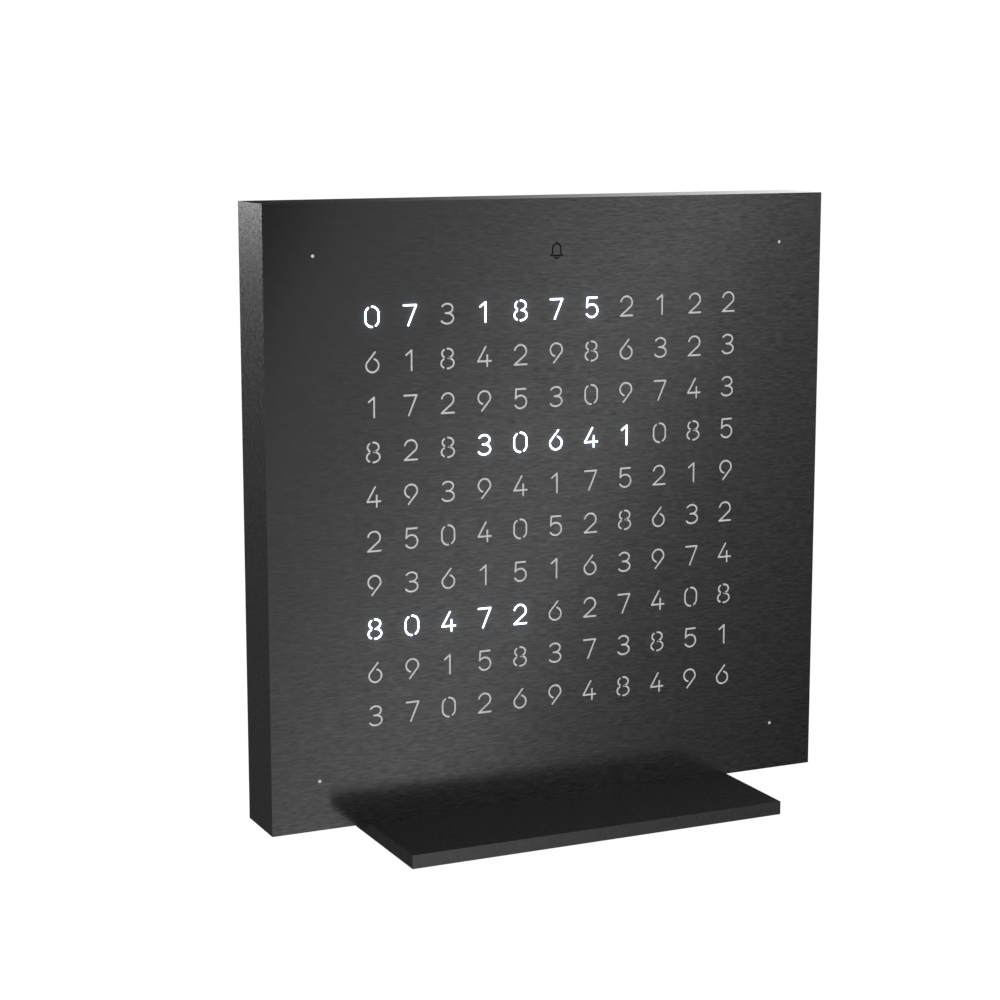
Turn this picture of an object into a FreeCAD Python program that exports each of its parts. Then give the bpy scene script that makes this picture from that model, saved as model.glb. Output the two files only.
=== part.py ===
"""Desk word clock: a thin square body with a field of cut-out signs, on a flat foot plate.

Frame: the origin is the middle of the foot mat's underside, +Z is up, and the face looks along -Y.
Millimetres. Every size is a cell of the sheet "Sizes", and every place worked out from them is a
cell of the sheet "Places". A piece that lies parallel to the face is drawn on the XZ plane of its
own body, whose origin is on the middle line of the face, at the piece's own mounting plane.
"""

import FreeCAD, Part
import os

import Sketcher

SIZES = {
    # the square body
    "body_side": 135,  # width and height
    "body_depth": 15,  # from the face to the back
    # the foot
    "foot_width": 90,
    "foot_reach": 24,  # how far it stands out in front of the face, and behind the back
    "foot_thick": 3,
    "mat_inset": 5,  # from the foot's edge to the rubber mat
    "mat_thick": 1,
    "mat_stand": 0.4,  # how far the mat stands below the foot
    "foot_screw_span": 60,
    "foot_thread": 3,
    "foot_head": 5.6,
    "foot_screw_long": 8,
    # the front cover and the sheet bonded behind it
    "cover_thick": 1,
    "backing_thick": 0.8,
    "backing_gap": 0.3,  # between the sheet's edge and the housing
    "dot_inset": 11,  # minute dots, from both edges
    "dot_bore": 0.8,
    "bell_drop": 11.3,  # bell sign, below the top edge
    # the field of signs, from the middle of the first sign to the middle of the last, both ways
    "field_span": 86.75,
    "field_columns": 11,
    "field_rows": 10,
    # the housing
    "rim_width": 7,  # solid rim round the light grid
    "side_wall": 2.5,
    "rebate_wall": 1.6,  # what is left of the wall beside the rear cover
    "post_side": 7.5,  # corner posts for the rear cover's screws
    "magnet_dia": 5,
    "magnet_thick": 2,
    "keeper_thick": 1,  # magnet on the cover
    "keeper_gap": 0.3,  # round it, in its pocket
    "fit_gap": 0.05,  # round a screw or a magnet in its own bore
    "bore_spare": 0.5,  # how much deeper a screw's bore is than the screw reaches
    # the light grid
    "grid_depth": 4.3,
    "grid_gap": 0.2,  # to the rim round it and to the sheet in front
    "grid_web": 0.9,  # wall between two cells, at the front
    "cell_narrow": 0.9,  # how far each side of a cell comes in towards its LED
    "dot_duct": 2.4,
    "duct_boss": 6,
    "led_gap": 0.3,  # round an LED that stands in a duct's foot
    "bell_cell": 5,
    "grid_skin": 1,  # what the hollows in the margin leave at the front
    "hollow_count": 4,  # hollows along each side margin
    # the circuit board and what is on it
    "board_thick": 1.6,
    "board_gap": 0.5,
    "board_screw_span": 84,  # between the two screws on one side
    "small_thread": 2,
    "small_head": 3.8,
    "pan_head_high": 1.2,
    "board_screw_long": 4,
    "lid_screw_long": 6,
    "led_wide": 3.5,
    "led_high": 2.8,
    "led_thick": 0.8,
    "lens_dia": 2.2,  # the round well that the LED shines from
    "lens_deep": 0.3,
    "driver_side": 6,
    "driver_thick": 0.9,
    "driver_span_x": 70,
    "driver_span_z": 36,
    "chip_side": 10,
    "chip_thick": 1.2,
    "chip_rise": 15,
    "crystal_wide": 5,
    "crystal_high": 3.2,
    "crystal_thick": 1.1,
    "crystal_shift": 12,
    "cell_dia": 12.5,
    "cell_thick": 2,
    "cell_inset": 27,  # from the chamber's side wall to the middle of the cell
    "cell_lift": 23,  # from the chamber's bottom wall
    "holder_wall": 1.2,
    "holder_floor": 0.6,
    "holder_gap": 0.2,
    "sounder_side": 9,
    "sounder_high": 3,
    "sounder_mouth": 2,
    "sounder_inset": 27,
    "sounder_lift": 23,
    "coil_side": 6,
    "coil_core": 4.4,
    "coil_high": 2.8,
    "coil_shift": 16,
    "coil_lift": 21,
    # the power inlet, a flat socket with round ends
    "socket_wide": 8.94,
    "socket_high": 3.16,
    "socket_shell": 0.3,
    "socket_lift": 13,  # from the chamber's bottom wall
    "tongue_wide": 6.7,
    "tongue_thick": 0.7,
    "tongue_base": 1.5,
    "tongue_back": 1,  # how far the tongue stays behind the mouth
    # the spring strip that joins the board to the housing
    "strip_wide": 3,
    "strip_thick": 0.25,
    "strip_foot": 2.5,
    "strip_rise": 2.2,
    # the rear cover
    "lid_thick": 1.5,
    "lid_gap": 0.2,
    "lid_screw_inset": 5.2,
    "lid_rib": 1.2,
    "rib_high": 1.5,
    "rib_inset": 1,  # from the corner posts' inner line
    "well_deep": 0.5,
    "well_margin": 3,
    "plug_margin": 2,
    "socket_gap": 0.25,
    "sound_bore": 1.5,
    "sound_ring": 2.8,  # radius of the ring of sound holes
    "sound_holes": 6,
    # the setting buttons
    "button_pitch": 16,
    "button_fall": 20,  # from the chamber's top wall
    "button_dia": 7,
    "button_gap": 0.3,
    "button_edge": 0.4,
    "flange_dia": 9,
    "flange_thick": 0.8,
    "stem_dia": 2.8,
    "button_travel": 0.5,
    "switch_side": 6,
    "switch_high": 1.9,
    "switch_floor": 0.6,
    "plunger_dia": 3.2,
    "plunger_seat": 0.6,  # how deep the plunger sits in its switch at rest
    "plunger_gap": 0.3,
    "plunger_spare": 0.3,  # how far it still stands out when pressed
}

PLACES = {
    "face_mid": "Sizes.mat_stand + Sizes.foot_thick + Sizes.body_side / 2",
    "foot_depth": "Sizes.body_depth + 2 * Sizes.foot_reach",
    "mat_recess": "Sizes.mat_thick - Sizes.mat_stand",
    "back": "Sizes.body_depth / 2",
    "cover_back": "Sizes.cover_thick - Sizes.body_depth / 2",
    "frame_depth": "Sizes.body_depth - Sizes.cover_thick",
    "opening": "Sizes.body_side - 2 * Sizes.rim_width",
    "rim_depth": "Sizes.backing_thick + Sizes.grid_gap + Sizes.grid_depth",
    "shoulder": "cover_back + rim_depth",
    "board_back": "shoulder + Sizes.board_thick",
    "lid_inner": "back - Sizes.lid_thick",
    "chamber_depth": "lid_inner - board_back",
    "chamber_side": "Sizes.body_side - 2 * Sizes.side_wall",
    "cell_shift": "chamber_side / 2 - Sizes.cell_inset",
    "cell_drop": "chamber_side / 2 - Sizes.cell_lift",
    "sounder_shift": "chamber_side / 2 - Sizes.sounder_inset",
    "sounder_drop": "chamber_side / 2 - Sizes.sounder_lift",
    "coil_drop": "chamber_side / 2 - Sizes.coil_lift",
    "socket_drop": "chamber_side / 2 - Sizes.socket_lift",
    "button_rise": "chamber_side / 2 - Sizes.button_fall",
    "between_posts": "Sizes.body_side - 2 * Sizes.post_side",
    "rebate_side": "Sizes.body_side - 2 * Sizes.rebate_wall",
    "dot_span": "Sizes.body_side - 2 * Sizes.dot_inset",
    "bell_rise": "Sizes.body_side / 2 - Sizes.bell_drop",
    "magnet_span": "Sizes.body_side - Sizes.rim_width",
    "column_pitch": "Sizes.field_span / (Sizes.field_columns - 1)",
    "row_pitch": "Sizes.field_span / (Sizes.field_rows - 1)",
    "grid_side": "opening - 2 * Sizes.grid_gap",
    "field_half": "(Sizes.field_span + row_pitch) / 2 + Sizes.grid_web",
    "margin_wide": "grid_side / 2 - field_half - Sizes.grid_web",
    "margin_mid": "field_half + margin_wide / 2",
    "side_run": "dot_span - Sizes.duct_boss",
    "side_hollow": "(side_run + Sizes.grid_web) / Sizes.hollow_count - Sizes.grid_web",
    "top_hollow": "field_half - Sizes.bell_cell / 2 - 2 * Sizes.grid_web",
    "board_screw_out": "(opening + chamber_side) / 4",
    "lid_screw_span": "Sizes.body_side - 2 * Sizes.lid_screw_inset",
    "foot_screw_y": "(cover_back + shoulder) / 2",
    "cover_screw_bore": "Sizes.lid_screw_long - Sizes.lid_thick + Sizes.bore_spare",
    "board_screw_bore": "Sizes.board_screw_long - Sizes.board_thick + Sizes.bore_spare",
    "foot_screw_bore": "Sizes.foot_screw_long - Sizes.foot_thick + mat_recess + Sizes.bore_spare",
    "socket_long": "back - Sizes.well_deep - board_back",
    "plunger_out": "Sizes.button_travel + Sizes.plunger_spare",
    "plunger_back": "board_back + Sizes.switch_high - Sizes.plunger_seat",
    "stem_long": "chamber_depth - Sizes.switch_high - plunger_out",
}

BUTTONS = ("hour", "minute", "alarm", "light")

doc = FreeCAD.newDocument("WordClock")
nodes = []


def make_sheets():
    """Fills the sheet of driving sizes and the sheet of places worked out from them."""
    sizes = doc.addObject("Spreadsheet::Sheet", "Sizes")
    for row, (name, value) in enumerate(SIZES.items(), start=1):
        sizes.set(f"A{row}", name)
        sizes.set(f"B{row}", str(value))
        sizes.setAlias(f"B{row}", name)
    doc.recompute()
    places = doc.addObject("Spreadsheet::Sheet", "Places")
    for row, (name, formula) in enumerate(PLACES.items(), start=1):
        places.set(f"A{row}", name)
        places.set(f"B{row}", "=" + formula)
        places.setAlias(f"B{row}", name)
    doc.recompute()


# Ways of building that every piece shares


def put(piece, x="0", y="0", z="Places.face_mid"):
    """Binds where a piece stands and records it as a node of the clock."""
    for axis, place in (("x", x), ("y", y), ("z", z)):
        piece.setExpression(f"Placement.Base.{axis}", place)
    nodes.append(piece)
    return piece


def new_body(name, **place):
    """A body that may hold several equal solids, placed on the middle line of the face."""
    body = doc.addObject("PartDesign::Body", name)
    body.Label = name
    body.AllowCompound = True
    return put(body, **place)


def origin_of(body, role):
    """One of the body's own origin planes or axes, such as XZ_Plane or X_Axis."""
    return next(feature for feature in body.Origin.OriginFeatures if feature.Role == role)


def new_sketch(body, name, plane="XZ_Plane", lift="0", shift=("0", "0")):
    """A sketch on an origin plane, lifted along the plane's normal and shifted along the plane."""
    sketch = body.newObject("Sketcher::SketchObject", f"{body.Label}_{name}")
    sketch.AttachmentSupport = [(origin_of(body, plane), "")]
    sketch.MapMode = "FlatFace"
    for axis, offset in zip("xyz", (*shift, lift)):
        sketch.setExpression(f"AttachmentOffset.Base.{axis}", offset)
    return sketch


def constrain(sketch, kind, *args, value=None):
    """Adds a constraint and, where it has a value, binds it to an expression."""
    if value is None:
        sketch.addConstraint(Sketcher.Constraint(kind, *args))
        return
    index = sketch.addConstraint(Sketcher.Constraint(kind, *args, 1.0))
    sketch.setExpression(f"Constraints[{index}]", value)


def pin_point(sketch, geometry, point, x, y):
    """Holds a point of the sketch at x, y from the sketch's origin."""
    for kind, axis, place in (("DistanceX", -2, x), ("DistanceY", -1, y)):
        if place == "0":
            constrain(sketch, "PointOnObject", geometry, point, axis)
        else:
            constrain(sketch, kind, -1, 1, geometry, point, value=place)


def add_outline(sketch, points):
    """A closed outline of straight edges through points given as pairs of expressions."""
    first = sketch.GeometryCount
    count = len(points)
    spots = [FreeCAD.Vector(k % 7 + 1, 2 * k % 5 + 1, 0) for k in range(count)]
    for start, end in zip(spots, spots[1:] + spots[:1]):
        sketch.addGeometry(Part.LineSegment(start, end))
    for k in range(count):
        constrain(sketch, "Coincident", first + k, 2, first + (k + 1) % count, 1)
    for k, (x, y) in enumerate(points):
        pin_point(sketch, first + k, 1, x, y)


def add_rectangle(sketch, width, height, x="0", y="0"):
    """A rectangle of that width and height, centred on x, y."""
    first = sketch.GeometryCount
    corners = [FreeCAD.Vector(cx, cy, 0) for cx, cy in ((-1, -1), (1, -1), (1, 1), (-1, 1))]
    for start, end in zip(corners, corners[1:] + corners[:1]):
        sketch.addGeometry(Part.LineSegment(start, end))
    for k in range(4):
        constrain(sketch, "Coincident", first + k, 2, first + (k + 1) % 4, 1)
        constrain(sketch, ("Horizontal", "Vertical")[k % 2], first + k)
    constrain(sketch, "DistanceX", first, 1, first, 2, value=width)
    constrain(sketch, "DistanceY", first + 1, 1, first + 1, 2, value=height)
    pin_point(sketch, first, 1, f"{x} - ({width}) / 2", f"{y} - ({height}) / 2")


def add_circle(sketch, diameter, x="0", y="0"):
    """A circle of that diameter, centred on x, y."""
    circle = Part.Circle(FreeCAD.Vector(1, 1, 0), FreeCAD.Vector(0, 0, 1), 1)
    index = sketch.addGeometry(circle)
    constrain(sketch, "Diameter", index, value=diameter)
    pin_point(sketch, index, 3, x, y)


def add_pad(body, sketch, length, backwards=False):
    """Raises the sketch towards the face, or backwards."""
    pad = body.newObject("PartDesign::Pad", f"{sketch.Label}_pad")
    pad.Profile = sketch
    pad.Reversed = backwards
    pad.setExpression("Length", length)
    return pad


def add_pocket(body, sketch, depth=None, from_back=False):
    """Cuts the sketch into the body from its front, or from its back, to a depth or right through."""
    pocket = body.newObject("PartDesign::Pocket", f"{sketch.Label}_cut")
    pocket.Profile = sketch
    pocket.Reversed = from_back
    if depth is None:
        pocket.Type = "ThroughAll"
    else:
        pocket.setExpression("Length", depth)
    return pocket


def add_turned(body, name, points, **where):
    """A turned solid: the outline's first number is the radius, the second runs along the axis."""
    sketch = new_sketch(body, name, **where)
    add_outline(sketch, points)
    turned = body.newObject("PartDesign::Revolution", f"{sketch.Label}_turn")
    turned.Profile = sketch
    turned.ReferenceAxis = (sketch, ["V_Axis"])
    turned.Angle = 360
    return turned


def add_slot(body, name, width, height, add_feature, **where):
    """A slot with round ends, width overall: a straight middle and two round ends, one feature each."""
    run = f"(({width}) - ({height}))"
    middle = new_sketch(body, name, **where)
    add_rectangle(middle, run, height)
    add_feature(middle)
    for side, way in (("left", "-"), ("right", "")):
        end = new_sketch(body, f"{name}_{side}", **where)
        add_circle(end, height, f"{way}{run} / 2")
        add_feature(end)


def repeat(body, features, across=None, up=None, around=None, about=None):
    """Repeats features across and up, each a pair of span and count, or a number of times around.

    A ring runs around the middle of the face, or around the origin of the sketch given as about.
    """
    steps = []
    for role, run in (("X_Axis", across), ("Z_Axis", up)):
        if run:
            step = body.newObject("PartDesign::LinearPattern", f"{features[0].Label}_{role}")
            step.Direction = (origin_of(body, role), [""])
            step.setExpression("Length", run[0])
            step.setExpression("Occurrences", run[1])
            steps.append(step)
    if around:
        step = body.newObject("PartDesign::PolarPattern", f"{features[0].Label}_ring")
        step.Axis = (about, ["N_Axis"]) if about else (origin_of(body, "Y_Axis"), [""])
        step.Angle = 360
        step.setExpression("Occurrences", around)
        steps.append(step)
    everything = body.newObject("PartDesign::MultiTransform", f"{features[0].Label}_all")
    everything.Originals = features
    everything.Transformations = steps
    body.Tip = everything
    return everything


def at_corners(body, feature, span):
    """Repeats a feature drawn at the lower left corner at all four corners of a square."""
    return repeat(body, [feature], across=(span, "2"), up=(span, "2"))


# The front cover, which its magnets hold


def make_front_cover():
    """Brushed sheet the size of the whole face, with a bore for each minute dot."""
    body = new_body("front_cover", y="Places.cover_back")
    outline = new_sketch(body, "outline")
    add_rectangle(outline, "Sizes.body_side", "Sizes.body_side")
    add_pad(body, outline, "Sizes.cover_thick")
    dot = new_sketch(body, "dot", lift="Sizes.cover_thick")
    add_circle(dot, "Sizes.dot_bore", "-Places.dot_span / 2", "-Places.dot_span / 2")
    at_corners(body, add_pocket(body, dot), "Places.dot_span")


def make_cover_backing():
    """Opal sheet bonded behind the cover, which fits into the housing's opening."""
    body = new_body("cover_backing", y="Places.cover_back")
    outline = new_sketch(body, "outline")
    side = "Places.opening - 2 * Sizes.backing_gap"
    add_rectangle(outline, side, side)
    add_pad(body, outline, "Sizes.backing_thick", backwards=True)


def make_magnets(name, plane, thickness):
    """Four disc magnets at the corners, from that plane backwards."""
    body = new_body(name, y=plane)
    round_face = new_sketch(body, "disc")
    add_circle(round_face, "Sizes.magnet_dia - 2 * Sizes.fit_gap", "-Places.magnet_span / 2",
               "-Places.magnet_span / 2")
    at_corners(body, add_pad(body, round_face, thickness, backwards=True), "Places.magnet_span")


# The housing and its rear cover


def make_housing_frame():
    """Square frame: a deep front rim round the light grid, thin walls behind, posts in the corners."""
    body = new_body("housing_frame", y="Places.back")
    block = new_sketch(body, "block")
    add_rectangle(block, "Sizes.body_side", "Sizes.body_side")
    add_pad(body, block, "Places.frame_depth")

    opening = new_sketch(body, "opening", lift="Places.frame_depth")
    add_rectangle(opening, "Places.opening", "Places.opening")
    add_pocket(body, opening)

    for name, wide, high in (("across", "chamber_side", "between_posts"),
                             ("up", "between_posts", "chamber_side")):
        chamber = new_sketch(body, f"chamber_{name}")
        add_rectangle(chamber, f"Places.{wide}", f"Places.{high}")
        add_pocket(body, chamber, "Places.frame_depth - Places.rim_depth", from_back=True)

    rebate = new_sketch(body, "rebate")
    add_rectangle(rebate, "Places.rebate_side", "Places.rebate_side")
    add_pocket(body, rebate, "Sizes.lid_thick", from_back=True)

    for name, diameter, depth in (
        ("keeper", "Sizes.magnet_dia + 2 * Sizes.keeper_gap", "Sizes.keeper_thick"),
        ("magnet", "Sizes.magnet_dia", "Sizes.keeper_thick + Sizes.magnet_thick"),
    ):
        seat = new_sketch(body, name, lift="Places.frame_depth")
        add_circle(seat, diameter, "-Places.magnet_span / 2", "-Places.magnet_span / 2")
        at_corners(body, add_pocket(body, seat, depth), "Places.magnet_span")

    lid_bore = new_sketch(body, "lid_bore", lift="Sizes.lid_thick")
    add_circle(lid_bore, "Sizes.small_thread", "-Places.lid_screw_span / 2", "-Places.lid_screw_span / 2")
    cut = add_pocket(body, lid_bore, "Places.cover_screw_bore", from_back=True)
    at_corners(body, cut, "Places.lid_screw_span")

    board_bore = new_sketch(body, "board_bore", lift="Places.frame_depth - Places.rim_depth")
    add_circle(board_bore, "Sizes.small_thread", "-Sizes.board_screw_span / 2", "-Places.board_screw_out")
    add_circle(board_bore, "Sizes.small_thread", "Sizes.board_screw_span / 2", "-Places.board_screw_out")
    cut = add_pocket(body, board_bore, "Places.board_screw_bore", from_back=True)
    repeat(body, [cut], around="4")

    foot_bore = new_sketch(body, "foot_bore", plane="XY_Plane", lift="-Sizes.body_side / 2")
    for side in ("-", ""):
        add_circle(foot_bore, "Sizes.foot_thread", f"{side}Sizes.foot_screw_span / 2",
                   "Places.foot_screw_y - Places.back")
    add_pocket(body, foot_bore, "Places.foot_screw_bore", from_back=True)


def make_rear_cover():
    """Moulded cover let into the back, with a rib, a well for the buttons and the socket's mouth."""
    body = new_body("rear_cover", y="Places.back")
    outline = new_sketch(body, "outline")
    side = "Places.rebate_side - 2 * Sizes.lid_gap"
    add_rectangle(outline, side, side)
    add_pad(body, outline, "Sizes.lid_thick")

    rib = new_sketch(body, "rib", lift="Sizes.lid_thick")
    rib_side = "Places.between_posts - 2 * Sizes.rib_inset"
    add_rectangle(rib, rib_side, rib_side)
    inner_side = f"{rib_side} - 2 * Sizes.lid_rib"
    add_rectangle(rib, inner_side, inner_side)
    add_pad(body, rib, "Sizes.rib_high")

    def sink(sketch):
        return add_pocket(body, sketch, "Sizes.well_deep", from_back=True)

    def cut_through(sketch):
        return add_pocket(body, sketch, from_back=True)

    well_high = "Sizes.button_dia + 2 * Sizes.well_margin"
    add_slot(body, "well", f"{len(BUTTONS) - 1} * Sizes.button_pitch + {well_high}", well_high, sink,
             shift=("0", "Places.button_rise"))

    bore = new_sketch(body, "button_bore")
    add_circle(bore, "Sizes.button_dia + 2 * Sizes.button_gap",
               f"-{(len(BUTTONS) - 1) / 2} * Sizes.button_pitch", "Places.button_rise")
    repeat(body, [cut_through(bore)],
           across=(f"{len(BUTTONS) - 1} * Sizes.button_pitch", str(len(BUTTONS))))

    for name, margin, feature in (("plug_seat", "plug_margin", sink), ("mouth", "socket_gap", cut_through)):
        add_slot(body, name, f"Sizes.socket_wide + 2 * Sizes.{margin}",
                 f"Sizes.socket_high + 2 * Sizes.{margin}", feature, shift=("0", "-Places.socket_drop"))

    middle = new_sketch(body, "sound_middle")
    add_circle(middle, "Sizes.sound_bore", "Places.sounder_shift", "-Places.sounder_drop")
    cut_through(middle)
    ring = new_sketch(body, "sound_hole", shift=("Places.sounder_shift", "-Places.sounder_drop"))
    add_circle(ring, "Sizes.sound_bore", "Sizes.sound_ring", "0")
    repeat(body, [cut_through(ring)], around="Sizes.sound_holes", about=ring)

    marks = new_sketch(body, "screw_mark")
    add_circle(marks, "Sizes.small_thread", "-Places.lid_screw_span / 2", "-Places.lid_screw_span / 2")
    hole = add_countersunk_hole(body, marks, "Sizes.small_thread", "Sizes.small_head")
    at_corners(body, hole, "Places.lid_screw_span")


def add_countersunk_hole(body, sketch, thread, head):
    """A through hole with a cone for a countersunk head, from the sketch's own side."""
    doc.recompute()
    hole = body.newObject("PartDesign::Hole", f"{sketch.Label}_hole")
    hole.Profile = sketch
    doc.recompute()
    hole.Reversed = True
    hole.DepthType = "ThroughAll"
    hole.setExpression("Diameter", thread)
    hole.HoleCutType = "Countersink"
    hole.setExpression("HoleCutDiameter", head)
    hole.HoleCutCountersinkAngle = 90
    return hole


# The light grid and the circuit board


def make_light_grid():
    """Moulded egg-crate: a tapered cell behind each sign, a cell for the bell, ducts for the dots."""
    body = new_body("light_grid", y="Places.shoulder")
    block = new_sketch(body, "block")
    add_rectangle(block, "Places.grid_side", "Places.grid_side")
    add_pad(body, block, "Sizes.grid_depth")

    bell = new_sketch(body, "bell", lift="Sizes.grid_depth")
    add_rectangle(bell, "Sizes.bell_cell", "Sizes.bell_cell", y="Places.bell_rise")
    add_pocket(body, bell)

    duct = new_sketch(body, "duct", lift="Sizes.grid_depth")
    add_circle(duct, "Sizes.dot_duct", "-Places.dot_span / 2", "-Places.dot_span / 2")
    at_corners(body, add_pocket(body, duct), "Places.dot_span")
    foot = new_sketch(body, "duct_foot")
    add_rectangle(foot, "Sizes.led_wide + 2 * Sizes.led_gap", "Sizes.led_high + 2 * Sizes.led_gap",
                  "-Places.dot_span / 2", "-Places.dot_span / 2")
    cut = add_pocket(body, foot, "Sizes.led_thick + Sizes.led_gap", from_back=True)
    at_corners(body, cut, "Places.dot_span")

    depth = "Sizes.grid_depth - Sizes.grid_skin"
    side = new_sketch(body, "side_hollow")
    add_rectangle(side, "Places.margin_wide", "Places.side_hollow", "-Places.margin_mid",
                  "(Places.side_hollow - Places.side_run) / 2")
    cut = add_pocket(body, side, depth, from_back=True)
    repeat(body, [cut], across=("2 * Places.margin_mid", "2"),
           up=("Places.side_run - Places.side_hollow", "Sizes.hollow_count"))
    low = new_sketch(body, "low_hollow")
    shift = "Places.field_half - Sizes.grid_web - Places.top_hollow / 2"
    add_rectangle(low, "Places.top_hollow", "Places.margin_wide", f"-({shift})", "-Places.margin_mid")
    cut = add_pocket(body, low, depth, from_back=True)
    repeat(body, [cut], across=(f"2 * ({shift})", "2"), up=("2 * Places.margin_mid", "2"))

    cell = body.newObject("PartDesign::SubtractiveWedge", "light_grid_cell")
    cell.setExpression("Ymin", "-Sizes.grid_depth")
    cell.setExpression("Ymax", "0")
    for axis, pitch in (("X", "Places.column_pitch"), ("Z", "Places.row_pitch")):
        half = f"({pitch} - Sizes.grid_web) / 2"
        for end, way in (("min", "-"), ("max", "+")):
            cell.setExpression(f"{axis}{end}", f"-Sizes.field_span / 2 {way} {half}")
            cell.setExpression(f"{axis}2{end}", f"-Sizes.field_span / 2 {way} ({half} - Sizes.cell_narrow)")
    repeat(body, [cell], across=("Sizes.field_span", "Sizes.field_columns"),
           up=("Sizes.field_span", "Sizes.field_rows"))


def make_led_board():
    """Circuit board with its corners cut away round the housing's posts, and its screw holes."""
    body = new_body("led_board", y="Places.shoulder")
    long_side = "Places.chamber_side - 2 * Sizes.board_gap"
    short_side = "Places.between_posts - 2 * Sizes.board_gap"
    for name, wide, high in (("across", long_side, short_side), ("up", short_side, long_side)):
        outline = new_sketch(body, name)
        add_rectangle(outline, wide, high)
        add_pad(body, outline, "Sizes.board_thick", backwards=True)
    bore = new_sketch(body, "bore")
    add_circle(bore, "Sizes.small_thread", "-Sizes.board_screw_span / 2", "-Places.board_screw_out")
    add_circle(bore, "Sizes.small_thread", "Sizes.board_screw_span / 2", "-Places.board_screw_out")
    repeat(body, [add_pocket(body, bore)], around="4")


def add_led(body, name, x, y):
    """One LED at x, y of the face: a block with a round well."""
    block = new_sketch(body, f"{name}_block")
    add_rectangle(block, "Sizes.led_wide", "Sizes.led_high", x, y)
    pad = add_pad(body, block, "Sizes.led_thick")
    well = new_sketch(body, f"{name}_well", lift="Sizes.led_thick")
    add_circle(well, "Sizes.lens_dia", x, y)
    return [pad, add_pocket(body, well, "Sizes.lens_deep")]


def make_leds():
    """An LED behind every sign, and one each behind the dots and the bell."""
    words = new_body("word_leds", y="Places.shoulder")
    led = add_led(words, "led", "-Sizes.field_span / 2", "-Sizes.field_span / 2")
    repeat(words, led, across=("Sizes.field_span", "Sizes.field_columns"),
           up=("Sizes.field_span", "Sizes.field_rows"))
    signs = new_body("sign_leds", y="Places.shoulder")
    led = add_led(signs, "dot", "-Places.dot_span / 2", "-Places.dot_span / 2")
    repeat(signs, led, across=("Places.dot_span", "2"), up=("Places.dot_span", "2"))
    add_led(signs, "bell", "0", "Places.bell_rise")


def make_chips():
    """The chips, the crystal and the coil on the board's back."""
    drivers = new_body("led_drivers", y="Places.board_back")
    outline = new_sketch(drivers, "outline")
    add_rectangle(outline, "Sizes.driver_side", "Sizes.driver_side", "-Sizes.driver_span_x / 2",
                  "-Sizes.driver_span_z / 2")
    pad = add_pad(drivers, outline, "Sizes.driver_thick", backwards=True)
    repeat(drivers, [pad], across=("Sizes.driver_span_x", "2"), up=("Sizes.driver_span_z", "2"))

    chip = new_body("clock_chip", y="Places.board_back")
    outline = new_sketch(chip, "outline")
    add_rectangle(outline, "Sizes.chip_side", "Sizes.chip_side", y="Sizes.chip_rise")
    add_pad(chip, outline, "Sizes.chip_thick", backwards=True)

    crystal = new_body("clock_crystal", y="Places.board_back")
    add_slot(crystal, "can", "Sizes.crystal_wide", "Sizes.crystal_high",
             lambda sketch: add_pad(crystal, sketch, "Sizes.crystal_thick", backwards=True),
             shift=("Sizes.crystal_shift", "Sizes.chip_rise"))

    coil = new_body("power_coil", y="Places.board_back")
    base = new_sketch(coil, "base")
    add_rectangle(base, "Sizes.coil_side", "Sizes.coil_side", "Sizes.coil_shift", "-Places.coil_drop")
    add_pad(coil, base, "Sizes.coil_high / 3", backwards=True)
    core = new_sketch(coil, "core")
    add_circle(core, "Sizes.coil_core", "Sizes.coil_shift", "-Places.coil_drop")
    add_pad(coil, core, "Sizes.coil_high", backwards=True)


# Pieces made of primitives: the coin cell, its holder, the sounder and the switches' plungers


def primitive(kind, name, sizes):
    """A Part primitive with its sizes bound."""
    piece = doc.addObject(f"Part::{kind}", name)
    for field, value in sizes.items():
        piece.setExpression(field, value)
    return piece


def place(piece, x, y, z):
    """Binds a primitive's own place inside the piece that it helps to make."""
    for axis, value in (("x", x), ("y", y), ("z", z)):
        piece.setExpression(f"Placement.Base.{axis}", value)
    return piece


def disc(name, diameter, height, x="0", y="0", z="0"):
    """A cylinder whose axis runs backwards, along +Y, from that point."""
    piece = primitive("Cylinder", name, {"Radius": f"({diameter}) / 2", "Height": height})
    piece.Placement.Rotation = FreeCAD.Rotation(FreeCAD.Vector(1, 0, 0), -90)
    return place(piece, x, y, z)


def block_on_board(name, side, height):
    """A square block centred on its own origin, standing backwards from the board."""
    piece = primitive("Box", name, {"Length": side, "Width": height, "Height": side})
    return place(piece, f"-({side}) / 2", "0", f"-({side}) / 2")


def cut_from(name, base, tool):
    """base without tool, under its own label."""
    piece = doc.addObject("Part::Cut", name)
    piece.Label = name
    piece.Base = base
    piece.Tool = tool
    return piece


def make_cell_and_holder():
    """Coin cell lying in an open holder on the board's back."""
    pocket = "Sizes.cell_dia + 2 * Sizes.holder_gap"
    side = f"{pocket} + 2 * Sizes.holder_wall"
    height = "Sizes.holder_floor + Sizes.cell_thick"
    bowl = disc("holder_bowl", pocket, height, y="Sizes.holder_floor")
    holder = cut_from("cell_holder", block_on_board("holder_block", side, height), bowl)
    spot = {"x": "-Places.cell_shift", "z": "Places.face_mid - Places.cell_drop"}
    put(holder, y="Places.board_back", **spot)
    cell = disc("backup_cell", "Sizes.cell_dia", "Sizes.cell_thick")
    put(cell, y="Places.board_back + Sizes.holder_floor", **spot)


def make_sounder():
    """Square sounder with a round mouth that faces the sound holes."""
    mouth = disc("sounder_mouth", "Sizes.sounder_mouth", "Sizes.sounder_high", y="Sizes.sounder_high / 2")
    sounder = cut_from("sounder", block_on_board("sounder_block", "Sizes.sounder_side", "Sizes.sounder_high"),
                       mouth)
    put(sounder, x="Places.sounder_shift", y="Places.board_back", z="Places.face_mid - Places.sounder_drop")


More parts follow.
